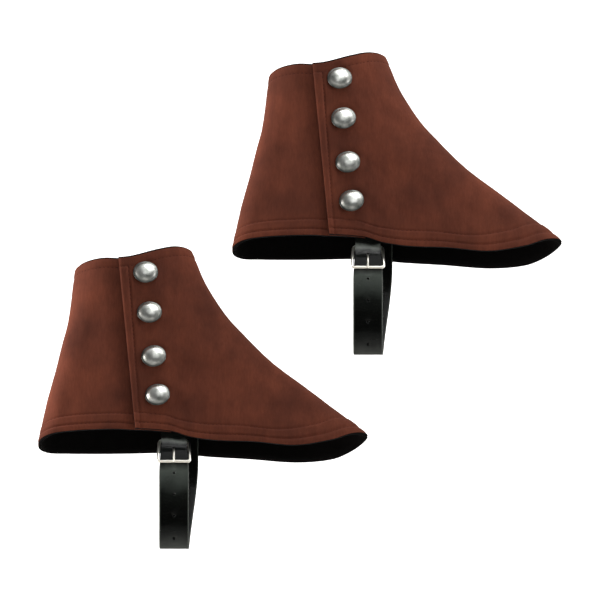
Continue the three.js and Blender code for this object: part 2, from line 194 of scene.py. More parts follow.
# %% Black lining
def black_cotton():
    material, tree, shader = start_material("black_cotton", {
        "Roughness": 0.95, "Specular IOR Level": 0.06,
    })
    place = add_node(tree, "ShaderNodeTexCoord").outputs["Object"]
    tone = add_node(tree, "ShaderNodeTexNoise", {"Vector": place, "Scale": per_metre(9), "Detail": 3})
    paint = add_node(tree, "ShaderNodeValToRGB", {"Fac": tone.outputs[0]})
    fill_ramp(paint.color_ramp, [(0, linear("050404")), (1, linear("0a0909"))])
    tree.links.new(paint.outputs[0], shader.inputs["Base Color"])
    uv = add_node(tree, "ShaderNodeUVMap", uv_map="UVMap").outputs[0]
    weave = add_node(tree, "ShaderNodeTexChecker", {"Vector": uv, "Scale": per_metre(0.8)})
    bump = add_node(tree, "ShaderNodeBump", {"Height": weave.outputs[1], "Strength": 0.3, "Distance": 0.0002})
    tree.links.new(bump.outputs[0], shader.inputs["Normal"])
    return material


LINING = black_cotton()
print("black cotton:", len(LINING.node_tree.nodes), "nodes")

# %% [markdown]
# Strap leather is smooth cowhide under a clear glaze: nearly black and glossy. Its colour along its length
# carries painted reflections and shade: a painted highlight on the fold inside the buckle, a greyer painted
# reflection below the buckle, near-black painted shade in the middle and a painted highlight at the bottom
# fold. Its edges are painted lighter, partly burnish and partly a painted highlight. It has a fine pebbled
# grain and small creases. The fold inside the buckle is rubbed to a higher polish. Its UV map is in metres,
# so these marks are placed by the rule.

# %% Glazed leather
def glazed_leather():
    material, tree, shader = start_material("glazed_leather", {
        "Coat Weight": 0.14, "Coat Roughness": 0.06,
    })
    place = add_node(tree, "ShaderNodeTexCoord").outputs["Object"]
    flat = add_node(tree, "ShaderNodeSeparateXYZ", {
        0: add_node(tree, "ShaderNodeUVMap", uv_map="UVMap").outputs[0]})
    tone = add_node(tree, "ShaderNodeTexNoise", {"Vector": place, "Scale": per_metre(12), "Detail": 4})
    drift = add_node(tree, "ShaderNodeMath", {
        0: tone.outputs[0], 1: 0.008, 2: flat.outputs["Y"]}, operation="MULTIPLY_ADD")
    run = add_node(tree, "ShaderNodeMapRange", {
        "Value": drift.outputs[0], "From Min": 0.004, "From Max": 0.224})
    # Colour along the strap: painted highlights on the fold inside the buckle and at the bottom fold, a
    # greyer painted reflection below the buckle, and near-black painted shade in the middle.
    wear = add_node(tree, "ShaderNodeValToRGB", {"Fac": run.outputs[0]})
    stops = [(0.0, "101211"), (0.058, "151816"), (0.07, "7f8681"), (0.084, "0f1211"), (0.15, "0c0e0d"),
             (0.175, "464c48"), (0.205, "383d3a"), (0.25, "0f1210"), (0.3, "010201"), (0.35, "020302"),
             (0.39, "121514"), (0.43, "3c403e"), (0.47, "131514"), (1.0, "0a0b0a")]
    fill_ramp(wear.color_ramp, [(position, linear(colour)) for position, colour in stops])
    # Lighter edges: partly burnish, partly a painted highlight.
    from_middle = add_node(tree, "ShaderNodeMath", {0: flat.outputs["X"]}, operation="ABSOLUTE")
    edge = add_node(tree, "ShaderNodeMapRange", {
        "Value": from_middle.outputs[0], "From Min": 0.0094, "From Max": 0.0104, "To Max": 0.8})
    paint = add_node(tree, "ShaderNodeMix", {"Factor": edge.outputs[0]}, data_type="RGBA")
    tree.links.new(wear.outputs[0], paint.inputs["A"])
    paint.inputs["B"].default_value = linear("4e534f")
    tree.links.new(paint.outputs["Result"], shader.inputs["Base Color"])
    gloss = add_node(tree, "ShaderNodeMapRange", {"Value": tone.outputs[0], "To Min": 0.18, "To Max": 0.32})
    tree.links.new(gloss.outputs[0], shader.inputs["Roughness"])
    polish = add_node(tree, "ShaderNodeValToRGB", {"Fac": run.outputs[0]})
    levels = [(0.05, 0.12), (0.062, 0.5), (0.088, 0.5), (0.1, 0.12)]
    fill_ramp(polish.color_ramp, [(position, (level, level, level, 1)) for position, level in levels])
    tree.links.new(polish.outputs[0], shader.inputs["Specular IOR Level"])
    grain = add_node(tree, "ShaderNodeTexVoronoi", {"Vector": place, "Scale": per_metre(0.7)})
    creases = add_node(tree, "ShaderNodeTexNoise", {
        "Vector": add_node(tree, "ShaderNodeMapping", {"Vector": place, "Scale": (0.35, 1, 1)}).outputs[0],
        "Scale": per_metre(5), "Detail": 4, "Roughness": 0.65})
    fine = add_node(tree, "ShaderNodeBump", {"Height": grain.outputs[0], "Strength": 0.12, "Distance": 2e-4})
    bump = add_node(tree, "ShaderNodeBump", {
        "Height": creases.outputs[0], "Strength": 0.35, "Distance": 0.0008, "Normal": fine.outputs[0]})
    tree.links.new(bump.outputs[0], shader.inputs["Normal"])
    return material


LEATHER = glazed_leather()
print("glazed leather:", len(LEATHER.node_tree.nodes), "nodes")

# %% [markdown]
# The snap caps are pressed brass, silver-plated and antiqued: a dark patina is left in every hollow and
# round the rim, and rubbed back to bright metal on the crown of the dome.

# %% Antiqued silver
def antiqued_silver():
    material, tree, shader = start_material("antiqued_silver", {"Metallic": 1.0})
    place = add_node(tree, "ShaderNodeTexCoord").outputs["Object"]
    blotch = add_node(tree, "ShaderNodeTexNoise", {
        "Vector": place, "Scale": per_metre(5), "Detail": 4, "Roughness": 0.5})
    paint = add_node(tree, "ShaderNodeValToRGB", {"Fac": blotch.outputs[0]})
    fill_ramp(paint.color_ramp, [(0.28, linear("8c918b")), (0.7, linear("f0f1ec"))])
    radius = add_node(tree, "ShaderNodeSeparateXYZ", {
        0: add_node(tree, "ShaderNodeUVMap", uv_map="UVMap").outputs[0]})
    rim = add_node(tree, "ShaderNodeMapRange", {
        "Value": radius.outputs[0], "From Min": 0.72, "From Max": 0.95, "To Min": 0.0, "To Max": 0.88})
    rubbed = add_node(tree, "ShaderNodeMix", {"Factor": rim.outputs[0]}, data_type="RGBA")
    tree.links.new(paint.outputs[0], rubbed.inputs["A"])
    rubbed.inputs["B"].default_value = linear("1c1f1d")
    tree.links.new(rubbed.outputs["Result"], shader.inputs["Base Color"])
    gloss = add_node(tree, "ShaderNodeMapRange", {"Value": blotch.outputs[0], "To Min": 0.36, "To Max": 0.25})
    tree.links.new(gloss.outputs[0], shader.inputs["Roughness"])
    dents = add_node(tree, "ShaderNodeTexNoise", {"Vector": place, "Scale": per_metre(2.2), "Detail": 3})
    bump = add_node(tree, "ShaderNodeBump", {"Height": dents.outputs[0], "Strength": 0.035, "Distance": 4e-4})
    tree.links.new(bump.outputs[0], shader.inputs["Normal"])
    return material


SILVER = antiqued_silver()
print("antiqued silver:", len(SILVER.node_tree.nodes), "nodes")

# %% [markdown]
# The buckle is steel wire under polished nickel plate: warm white metal with sharp reflections and only a
# few fine handling scratches.

# %% Polished nickel
def polished_nickel():
    material, tree, shader = start_material("polished_nickel", {"Metallic": 1.0})
    place = add_node(tree, "ShaderNodeTexCoord").outputs["Object"]
    wear = add_node(tree, "ShaderNodeTexNoise", {"Vector": place, "Scale": per_metre(1.2), "Detail": 5})
    paint = add_node(tree, "ShaderNodeValToRGB", {"Fac": wear.outputs[0]})
    fill_ramp(paint.color_ramp, [(0, linear("d2cfc4")), (1, linear("f5f3ec"))])
    tree.links.new(paint.outputs[0], shader.inputs["Base Color"])
    gloss = add_node(tree, "ShaderNodeMapRange", {"Value": wear.outputs[0], "To Min": 0.24, "To Max": 0.4})
    tree.links.new(gloss.outputs[0], shader.inputs["Roughness"])
    return material


NICKEL = polished_nickel()
print("polished nickel:", len(NICKEL.node_tree.nodes), "nodes")

# %% [markdown]
# Sewing thread is polyester dyed to match the wool. It sits in its own small groove, so it looks darker.

# %% Thread
def wool_thread():
    material, tree, shader = start_material("wool_thread", {"Roughness": 0.85, "Specular IOR Level": 0.1})
    place = add_node(tree, "ShaderNodeTexCoord").outputs["Object"]
    ply = add_node(tree, "ShaderNodeTexNoise", {"Vector": place, "Scale": per_metre(0.5)})
    paint = add_node(tree, "ShaderNodeValToRGB", {"Fac": ply.outputs[0]})
    fill_ramp(paint.color_ramp, [(0, linear("27120c")), (1, linear("43201a"))])
    tree.links.new(paint.outputs[0], shader.inputs["Base Color"])
    return material


THREAD = wool_thread()
print("wool thread:", len(THREAD.node_tree.nodes), "nodes")

# %% [markdown]
# ## The cut of the spat
# The wool is drawn over the same form as the solids. Rings run from the heel to the toe and are stacked
# from the hem to the top edge. Each ring is an ellipse whose half width changes along it, so a few
# numbers per edge give the whole body. All of them are in millimetres.

# %% Outline of the spat
BACK_SEAM = [(0, 0), (28, 5.6), (62, 14.2), (96, 21.9), (134, 26.8)]
FRONT_SEAM = [(6.9, 236.3), (16.9, 224.4), (35.5, 200.9), (63.1, 167.4), (91.2, 141), (118.6, 122.4),
              (149, 109.8)]
OUTER_HEM = [(0, 0), (0.09, 2), (0.27, 2.9), (0.4, 2), (0.46, -2.2), (0.53, -4.4), (0.65, -5.6),
             (0.78, -8.4), (0.89, -3.4), (0.95, 3), (1, 6.9)]
INNER_HEM = [(0, 0), (0.09, 1.8), (0.27, 2.5), (0.4, 2.4), (0.53, -1.2), (0.65, -3), (0.78, -5.2),
             (0.89, -3.6), (0.95, 1), (1, 6.9)]
TOP_EDGE = [(0, 134), (0.25, 134), (0.45, 133.9), (0.7, 141.2), (0.85, 145.9), (1, 149)]
HEM_FULLNESS = [(0, 58), (0.09, 38), (0.27, 26.5), (0.53, 20.8), (0.66, 22), (0.84, 28), (1, 37.5)]
TOP_FULLNESS = [(0, 34), (0.5, 28), (1, 26)]
OUTER, INNER = -1, 1
print("heel to toe at the hem:", FRONT_SEAM[0][1], "mm")
print("the top edge climbs from", TOP_EDGE[0][1], "to", TOP_EDGE[-1][1], "mm")

# %% [markdown]
# A few numbers per edge are enough, because a smooth curve is drawn through them. Any point of the cloth
# is then found from two numbers: how far it is round its ring, and how far it has risen from the hem.

# %% Surface of the spat
def smooth_curve(points):
    """A smooth curve through a few points; the slope at each one comes from its two neighbours."""
    slopes = []
    for i in range(len(points)):
        before, after = points[max(i - 1, 0)], points[min(i + 1, len(points) - 1)]
        slopes.append((after[1] - before[1]) / (after[0] - before[0]))

    def at(x):
        i = 0
        while i < len(points) - 2 and x > points[i + 1][0]:
            i += 1
        span = points[i + 1][0] - points[i][0]
        climb = points[i + 1][1] - points[i][1]
        t = (x - points[i][0]) / span
        bend, bend_after = slopes[i] * span - climb, climb - slopes[i + 1] * span
        return points[i][1] + t * climb + t * (1 - t) * (bend * (1 - t) + bend_after * t)
    return at


back_seam, front_seam = smooth_curve(BACK_SEAM), smooth_curve(FRONT_SEAM)
hems = {OUTER: smooth_curve(OUTER_HEM), INNER: smooth_curve(INNER_HEM)}
top_edge = smooth_curve(TOP_EDGE)
hem_fullness, top_fullness = smooth_curve(HEM_FULLNESS), smooth_curve(TOP_FULLNESS)


def lerp(a, b, t):
    return a + (b - a) * t


def smoothstep(x, low, high):
    t = min(max((x - low) / (high - low), 0), 1)
    return t * t * (3 - 2 * t)


def ring_height(along, rise, side):
    return lerp(hems[side](along), top_edge(along), rise)


def ring_ends(rise):
    return back_seam(ring_height(0, rise, OUTER)), front_seam(ring_height(1, rise, OUTER))


def fullness(along, rise):
    return lerp(hem_fullness(along), top_fullness(along), rise)


def ring_point(turn, rise, side):
    """A point of the surface; turn goes from 0 at the back seam to pi at the front seam."""
    along = (1 - math.cos(turn)) / 2
    back_x, front_x = ring_ends(rise)
    half_width = fullness(along, rise) * math.sin(turn)
    return Vector((lerp(back_x, front_x, along), side * half_width, ring_height(along, rise, side)))


def surface_normal(turn, rise, side):
    step = 0.004
    across = ring_point(turn + step, rise, side) - ring_point(turn - step, rise, side)
    up = ring_point(turn, rise + step, side) - ring_point(turn, rise - step, side)
    return across.cross(up).normalized() * -side


def surface_point(turn, rise, side, offset):
    return ring_point(turn, rise, side) + surface_normal(turn, rise, side) * offset


for rise in (0, 0.5, 1):
    ends = ring_ends(rise)
    print("ring at rise", rise, "runs from x", round(ends[0], 1), "to", round(ends[1], 1), "mm")

# %% [markdown]
# ### Edges of the panels
# The outer side is two panels. The front one ends in a flap that lies over the back one, so near the flap's
# edge one panel is lifted and the other dips under it. The other edges are butted seams.

# %% Panel edges
GAP = 0.3
WOOL_THICKNESS = 1.5
LINING_THICKNESS = 1.0
LAP_STEP = WOOL_THICKNESS + LINING_THICKNESS + 2 * GAP
FLAP_AT_HEM, FLAP_AT_TOP = 69.9, 57.6
UNDERLAP = 26
FLAP_LIFT = 1.5
DIP_LENGTH = 14


def flap_edge(z):
    return lerp(FLAP_AT_HEM, FLAP_AT_TOP, z / top_edge(0))


def turn_at(rise, side, edge):
    """The turn at which a ring crosses an upright edge given as x at each height."""
    back_x, front_x = ring_ends(rise)
    along = 0.4
    for _ in range(8):
        along = (edge(ring_height(along, rise, side)) - back_x) / (front_x - back_x)
    return math.acos(1 - 2 * along)


def locate(x, z, side):
    """The turn and rise of the surface's point at a given x and z."""
    along, rise = 0.4, 0.3
    for _ in range(20):
        hem = ring_height(along, 0, side)
        rise = (z - hem) / (ring_height(along, 1, side) - hem)
        back_x, front_x = ring_ends(rise)
        along = (x - back_x) / (front_x - back_x)
    return math.acos(1 - 2 * along), rise


def flap_offset(distance):
    return FLAP_LIFT * (1 - smoothstep(distance, 0, UNDERLAP))


def underlap_offset(distance):
    if distance > 0:
        return flap_offset(distance) - LAP_STEP
    return -(LAP_STEP - FLAP_LIFT) * smoothstep(distance, -DIP_LENGTH, 0)


def no_offset(distance):
    return 0.0


def back_seam_turn(rise):
    return math.asin(GAP / 2 / fullness(0, rise))


def front_seam_turn(rise):
    return math.pi - math.asin(GAP / 2 / fullness(1, rise))


def flap_turn(rise):
    return turn_at(rise, OUTER, flap_edge)


def underlap_turn(rise):
    return turn_at(rise, OUTER, lambda z: flap_edge(z) + UNDERLAP)


PANELS = {
    "outer_back": (OUTER, back_seam_turn, underlap_turn, underlap_offset),
    "outer_front": (OUTER, flap_turn, front_seam_turn, flap_offset),
    "inner_side": (INNER, back_seam_turn, front_seam_turn, no_offset),
}
print("the flap laps", UNDERLAP, "mm; the back panel dips", round(LAP_STEP - FLAP_LIFT, 1), "mm under it")

# %% [markdown]
# The frame says where the first spat stands. The same facets as the solid's are measured here, and the
# difference between the two boxes gives the shift from the cut's millimetres to the frame's metres.

# %% Home of the first spat
plain = [surface_point(lerp(back_seam_turn(r / 8), front_seam_turn(r / 8), c / 20), r / 8, INNER, depth)
         for r in range(9) for c in range(21) for depth in (0, -WOOL_THICKNESS)]
plain_low = Vector([min(p[i] for p in plain) for i in range(3)]) * MM
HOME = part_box("spat_a_inner_side")[0] - plain_low


def in_frame(point):
    return point * MM + HOME


# %% [markdown]
# ### What the maker's hands leave in the cloth
# The hem and the top are turned in and stitched, so each row pulls a groove and the band below it stands
# a little proud. The flap's edge is folded back and stitched too. Each snap presses a dimple. Seams roll
# inwards, and the soft creases are placed one by one: where the ankle bends, over the instep and by the heel.

# %% Sizes of the relief
HEM_ROWS = (4.8, 12.0)
TOP_ROW = 7.6
ROW_WIDTH = 0.8
ROW_DEPTH = 0.95
TURNED_RISE = 0.55
TOP_ROW_DEPTH, TOP_TURNED_RISE = 0.45, 0.25
BAND_AT_TOP, BAND_AT_HEM = 6.6, 3.6
FLAP_BAND_BELOW_TOP = 8.5
SEAM_ROLL = 0.7
SNAP_HEIGHTS = (28.6, 58, 91.5, 122)
SNAP_SETBACK = 18.2
CAP_RADIUS = 8.9
CAP_LEAN_UP, CAP_LEAN_TO_HEEL = 0.2, 0.13
CAP_LIFT = 0.0005
# Creases on each side: middle x and z, direction in degrees, length, width and depth (below 0 is a ridge).
CREASES = {
    OUTER: [(40, 78, 78, 62, 9, 0.9), (30, 34, 60, 44, 8, 0.5), (122, 84, -52, 54, 9, 0.8),
            (140, 42, -28, 70, 10, 0.7), (108, 22, -70, 40, 9, -0.6), (176, 20, -12, 56, 8, 0.5)],
    INNER: [(46, 70, 80, 66, 10, 0.9), (96, 56, -60, 64, 9, 0.8), (128, 76, -50, 50, 8, -0.6),
            (146, 36, -24, 72, 10, 0.8), (70, 26, 65, 46, 9, 0.6), (188, 18, -12, 50, 8, 0.5)],
}
deepest = max(depth for creases in CREASES.values() for *_, depth in creases)
print("creases:", sum(len(creases) for creases in CREASES.values()), "the deepest", deepest, "mm")

# %% [markdown]
# All of these are added up as one height over the plain surface. A bell curve makes a groove or a crease,
# and a smooth step makes a band. A little seeded noise keeps the cloth from looking pressed.

# %% Relief of the wool
def bell(x, width):
    return math.exp(-(x / width) ** 2)


def lean(normal):
    """The way a snap cap points: the cloth's own normal, tipped up and to the heel."""
    return (normal + Vector((-CAP_LEAN_TO_HEEL, 0, CAP_LEAN_UP))).normalized()


def band_width(z):
    return lerp(BAND_AT_HEM, BAND_AT_TOP, z / top_edge(0))


def relief(panel, point, turn, rise):
    """How far the finished wool stands off its plain surface, in mm."""
    side = PANELS[panel][0]
    along = (1 - math.cos(turn)) / 2
    above_hem = point.z - ring_height(along, 0, side)
    below_top = ring_height(along, 1, side) - point.z
    clear = lerp(0.25, 1, smoothstep(abs(point.y), 1, 9))
    off = TURNED_RISE * clear * (1 - smoothstep(above_hem, HEM_ROWS[1] - 0.4, HEM_ROWS[1] + 1.6))
    off += TOP_TURNED_RISE * (1 - smoothstep(below_top, TOP_ROW - 0.4, TOP_ROW + 1.6))
    for row in HEM_ROWS:
        off -= ROW_DEPTH * clear * bell(above_hem - row, ROW_WIDTH)
    off -= TOP_ROW_DEPTH * bell(below_top - TOP_ROW, ROW_WIDTH)
    off -= 0.5 * bell(above_hem, 1.0) + 1.2 * bell(below_top, 0.9)
    off -= SEAM_ROLL * bell(abs(point.y), 1.3)
    for x, z, direction, length, width, depth in CREASES[side]:
        c, s = math.cos(math.radians(direction)), math.sin(math.radians(direction))
        dx, dz = point.x - x, point.z - z
        off -= depth * bell(dx * c + dz * s, length / 2) * bell(dz * c - dx * s, width)
    if side == OUTER:
        past_edge = point.x - flap_edge(point.z)
        if panel == "outer_front":
            band = band_width(point.z)
            stitched = smoothstep(below_top, FLAP_BAND_BELOW_TOP - 0.6, FLAP_BAND_BELOW_TOP + 0.6)
            off += stitched * 0.75 * (1 - smoothstep(past_edge, band - 0.2, band + 1.6))
            off -= stitched * 1.3 * bell(past_edge - band, 0.85) + 0.6 * bell(past_edge, 0.7)
            off -= (1 - stitched) * 0.6 * bell(past_edge, 2.2)
            for height in SNAP_HEIGHTS:
                dx, dz = past_edge - SNAP_SETBACK, point.z - height
                slope = CAP_LEAN_TO_HEEL * dx - CAP_LEAN_UP * dz
                pressed = min(max(slope - 0.4, -1.0), 0.8)
                off += pressed * (1 - smoothstep(math.hypot(dx, dz), CAP_RADIUS - 1, CAP_RADIUS + 5))
    drift = noise.noise(point / 26) * 0.5 + noise.noise(point / 7) * 0.12
    return off + drift * smoothstep(above_hem, 0, 10) * smoothstep(below_top, 0, 10)


crease_spot = Vector((40, -30, 78))
print("wool in the ankle's crease:", round(relief("outer_back", crease_spot, 0.8, 0.6), 2), "mm off plain")

# %% [markdown]
# ### One face of cloth
# bmesh makes a flat grid, and each of its vertices is moved to its place on the form. The cells are small
# beside the hem, the top and the flap, where the stitching is. The UV map holds real lengths in metres, so
# the twill keeps one size on every panel.

# %% Cloth face
def cell_edges(zones):
    """Even cells in each zone of (share of the whole, cells), as fractions from 0 to 1."""
    edges, done = [0.0], 0.0
    for share, cells in zones:
        edges += [done + share * (i + 1) / cells for i in range(cells)]
        done += share
    edges[-1] = 1.0
    return edges


def uv_layer(bm):
    return bm.loops.layers.uv.get("UVMap") or bm.loops.layers.uv.new("UVMap")


def flat_grid(bm, columns, rows):
    """A grid one unit wide with a vertex at each crossing of the cell edges. Returns its vertices."""
    across, up = len(columns) - 1, len(rows) - 1
    return bmesh.ops.create_grid(bm, x_segments=across, y_segments=up, size=0.5)["verts"]


def grid_place(vert, columns, rows):
    """The column and row that a vertex of a flat grid stands for."""
    return round((vert.co.x + 0.5) * (len(columns) - 1)), round((vert.co.y + 0.5) * (len(rows) - 1))


def cloth_face(bm, panel, columns, rows, reveal, depth, detailed):
    """One face of a panel. Returns its faces and those along the top, with real lengths in the UV map."""
    side, start, end, offset_at = PANELS[panel]
    made = flat_grid(bm, columns, rows)
    uv = uv_layer(bm)
    laid, topmost = {}, set()
    for vert in made:
        column, row = grid_place(vert, columns, rows)
        if row >= len(rows) - 3:
            topmost.add(vert)
        rise = lerp(reveal, 1 - reveal, rows[row])
        turn = lerp(start(rise), end(rise), columns[column])
        point = ring_point(turn, rise, side)
        off = offset_at(point.x - flap_edge(point.z)) - depth
        if detailed:
            off += relief(panel, point, turn, rise)
        vert.co = in_frame(point + surface_normal(turn, rise, side) * off)
        laid[vert] = (point.x * MM + abs(point.y) * MM * (1 if point.x > 100 else -1), point.z * MM)
    faces = {face for vert in made for face in vert.link_faces}
    for face in faces:
        for loop in face.loops:
            loop[uv].uv = laid[loop.vert]
    return list(faces), [face for face in faces if topmost.issuperset(face.verts)]


print("cells of a row that is fine at its start:", [round(e, 2) for e in cell_edges([(0.2, 4), (0.8, 4)])])

# %% [markdown]
# ### A panel of cloth
# The outer face carries the relief. A second face, on the inside, follows the plain form, and the two rims
# are bridged. Solidify could give the thickness, but it would press the relief through to the lining.

# %% Panel maker
def rim_of(faces):
    return [edge for edge in {e for f in faces for e in f.edges} if len(edge.link_faces) == 1]


def finish_mesh(bm, name, materials, smooth=True):
    """Makes an object of the bmesh, at the origin, with its place in its mesh."""
    mesh = bpy.data.meshes.new(name)
    bm.to_mesh(mesh)
    bm.free()
    for material in materials:
        mesh.materials.append(material)
    for polygon in mesh.polygons:
        polygon.use_smooth = smooth
    obj = bpy.data.objects.new(name, mesh)
    bpy.context.collection.objects.link(obj)
    return obj


def cloth_panel(name, panel, columns, rows, reveal, depth, thickness, materials, detailed):
    bm = bmesh.new()
    outer_faces, top_strip_painted_shade = cloth_face(bm, panel, columns, rows, reveal, depth, detailed)
    inner_faces, _ = cloth_face(bm, panel, columns, rows, reveal, depth + thickness, False)
    bridged = bmesh.ops.bridge_loops(bm, edges=rim_of(outer_faces) + rim_of(inner_faces))["faces"]
    # The black backing goes on the rim and the inside; on the wool, the top strip of the outer face is
    # painted black as painted shade along the top edge.
    for face in bridged + inner_faces + (top_strip_painted_shade if detailed else []):
        face.material_index = len(materials) - 1
    bmesh.ops.recalc_face_normals(bm, faces=bm.faces)
    area = sum(face.calc_area() for face in outer_faces if face.is_valid)
    return finish_mesh(bm, name, materials), area


print("wool", WOOL_THICKNESS, "mm thick, lining", LINING_THICKNESS, "mm, with", GAP, "mm of air between")

# %% [markdown]
# ### The second spat
# Both spats of the pair are alike, so each piece is made once and copied with its own mesh. Every piece is
# then tied to the solid it stands for.

# %% Pair the pieces
def second_of(piece, name):
    """The same piece on the second spat."""
    copy = piece.copy()
    copy.name, copy.data = name, piece.data.copy()
    copy.data.name = name
    copy.data.transform(Matrix.Translation(PAIR_STEP))
    bpy.context.collection.objects.link(copy)
    return copy


def settle(piece, node):
    """Puts a piece of the first spat on the frame, and its copy on the second. Returns both."""
    twin = second_of(piece, piece.name.replace("spat_a", "spat_b"))
    for made, spat in ((piece, "spat_a"), (twin, "spat_b")):
        if node:
            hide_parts(f"{spat}_{node}")
        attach(made, "root")
    return piece, twin


print("every piece of spat_a gets a twin on spat_b,", round(PAIR_STEP.length, 4), "m away")

# %% [markdown]
# ## Wool and lining
# Each panel's flat size is the rectangle it is cut from, and the area is that of the cut itself. The rim
# of the wool shows the black backing that is bonded to it. A thin strip along the top of its outer face is
# painted black as well: painted shade along the top edge.

# %% Cut and sew the cloth
COLUMNS = {
    "outer_back": cell_edges([(0.06, 8), (0.62, 52), (0.14, 16), (0.18, 8)]),
    "outer_front": cell_edges([(0.09, 24), (0.28, 44), (0.57, 64), (0.06, 8)]),
    "inner_side": cell_edges([(0.03, 8), (0.94, 124), (0.03, 8)]),
}
ROWS = cell_edges([(0.11, 26), (0.8, 84), (0.09, 20)])
LINING_COLUMNS = {"outer_back": 34, "outer_front": 50, "inner_side": 60}
LINING_ROWS = 40
LINING_REVEAL = 0.003


def cut_size(panel):
    """The rectangle a panel is cut from: its hem's length, and its height from lowest to highest."""
    side, start, end, _ = PANELS[panel]
    hem = [ring_point(lerp(start(0), end(0), i / 60), 0, side) for i in range(61)]
    levels = [ring_point(lerp(start(r), end(r), i / 20), r, side).z for r in (0, 1) for i in range(21)]
    return sum(math.dist(p, q) for p, q in zip(hem, hem[1:])) * MM, (max(levels) - min(levels)) * MM


for panel in PANELS:
    cut = cut_size(panel)
    wool, area = cloth_panel(f"spat_a_{panel}_wool", panel, COLUMNS[panel], ROWS, 0, 0,
                             WOOL_THICKNESS, [WOOL, LINING], True)
    lining, lining_area = cloth_panel(
        f"spat_a_{panel}_black", panel, cell_edges([(1, LINING_COLUMNS[panel])]),
        cell_edges([(1, LINING_ROWS)]), LINING_REVEAL, WOOL_THICKNESS + GAP, LINING_THICKNESS, [LINING],
        False)
    for piece in settle(wool, panel):
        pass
    for piece in settle(lining, f"{panel}_lining"):
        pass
    print(panel, "cut from", [round(x / MM, 1) for x in cut], "mm;", round(area * 1e4, 1), "cm2;",
          len(wool.data.polygons), "faces")

# %% [markdown]
# ## Stitching
# Each stitch is a small squashed ball that lies in its row's groove. All the stitches of a spat are one
# joined mesh, because they are hundreds and never move on their own.

# %% Stitching
STITCH_PITCH = 3.0
STITCH_SIZE = (1.05, 0.3, 0.26)
STITCH_SINK = 0.1


def finished_point(panel, turn, rise):
    """A point on the finished wool of a panel, and its plain normal."""
    side, _, _, offset_at = PANELS[panel]
    point = ring_point(turn, rise, side)
    normal = surface_normal(turn, rise, side)
    off = offset_at(point.x - flap_edge(point.z)) + relief(panel, point, turn, rise)
    return point + normal * off, normal


def lay_stitches(bm, panel, path):
    """Lays stitches end to end along a path, a function from 0..1 to (turn, rise). Returns how many."""
    samples = [finished_point(panel, *path(i / 400)) for i in range(401)]
    run, count = 0.0, 0
    for (point, normal), (after, _) in zip(samples, samples[1:]):
        step = (after - point).length
        if run >= STITCH_PITCH:
            run -= STITCH_PITCH
            count += 1
            along = (after - point).normalized()
            out = along.cross(normal).cross(along).normalized()
            axes = Matrix((along, out.cross(along), out)).transposed().to_4x4()
            size = Matrix.Diagonal([s * MM for s in STITCH_SIZE] + [1])
            place = Matrix.Translation(in_frame(point - normal * STITCH_SINK))
            bmesh.ops.create_uvsphere(bm, u_segments=6, v_segments=4, radius=1, matrix=place @ axes @ size)
        run += step
    return count


def level_row(panel, height, from_top):
    """A row at one height above the hem, or below the top edge."""
    side, start, end, _ = PANELS[panel]
    if panel == "outer_back":
        end = flap_turn

    def path(t):
        rise = 0.5
        for _ in range(3):
            turn = lerp(start(rise) + 0.01, end(rise) - 0.01, t)
            along = (1 - math.cos(turn)) / 2
            tall = ring_height(along, 1, side) - ring_height(along, 0, side)
            rise = 1 - height / tall if from_top else height / tall
        return turn, rise
    return path


def flap_row(t):
    z = lerp(HEM_ROWS[1], TOP_EDGE[0][1] - TOP_ROW, t)
    return locate(flap_edge(z) + band_width(z), z, OUTER)


bm = bmesh.new()
stitches = 0
for panel in PANELS:
    for height in HEM_ROWS:
        stitches += lay_stitches(bm, panel, level_row(panel, height, False))
    stitches += lay_stitches(bm, panel, level_row(panel, TOP_ROW, True))
stitches += lay_stitches(bm, "outer_front", flap_row)
settle(finish_mesh(bm, "spat_a_stitching", [THREAD]), None)
print(stitches, "stitches on each spat")

# %% [markdown]
# ## Snaps
# A cap is a profile spun about its axis: a dome over a rolled rim. Its flat UV holds how far out a point
# is, which the patina follows. Each cap leans a little, since the cloth under it is soft, and its dimple
# leans with it.

# %% Caps and posts
CAP_PROFILE = [(0, 3.6), (1.5, 3.55), (3.1, 3.33), (4.6, 2.94), (5.9, 2.42), (7.0, 1.8), (7.7, 1.3),
               (8.05, 1.1), (8.35, 1.12), (8.65, 1.05), (8.88, 0.8), (8.9, 0.5), (8.7, 0.2), (8.3, 0.05),
               (0, 0)]
POST_PROFILE = [(0, 0.5), (1.6, 0.5), (1.8, 1.0), (2.1, 1.1), (4.3, 1.1), (4.8, 0.95), (5, 0.6), (4.9, 0.15),
                (4.6, 0), (0, 0)]


def spun(name, profile, axis, seat, material, steps=48):
    """Spins a profile of (radius, height) about an axis that leaves a seat."""
    bm = bmesh.new()
    verts = [bm.verts.new((r * MM, 0, h * MM)) for r, h in profile]
    edges = [bm.edges.new(pair) for pair in zip(verts, verts[1:])]
    bmesh.ops.spin(bm, geom=verts + edges, cent=(0, 0, 0), axis=(0, 0, 1), angle=math.tau, steps=steps,
                   use_merge=True)
    bmesh.ops.remove_doubles(bm, verts=bm.verts, dist=1e-6)
    widest = max(r for r, _ in profile) * MM
    uv = uv_layer(bm)
    for face in bm.faces:
        for loop in face.loops:
            loop[uv].uv = (math.hypot(loop.vert.co.x, loop.vert.co.y) / widest, loop.vert.co.z / MM)
    bmesh.ops.recalc_face_normals(bm, faces=bm.faces)
    turn = Vector((0, 0, 1)).rotation_difference(axis).to_matrix().to_4x4()
    bmesh.ops.transform(bm, matrix=Matrix.Translation(seat) @ turn, verts=bm.verts)
    return finish_mesh(bm, name, [material])


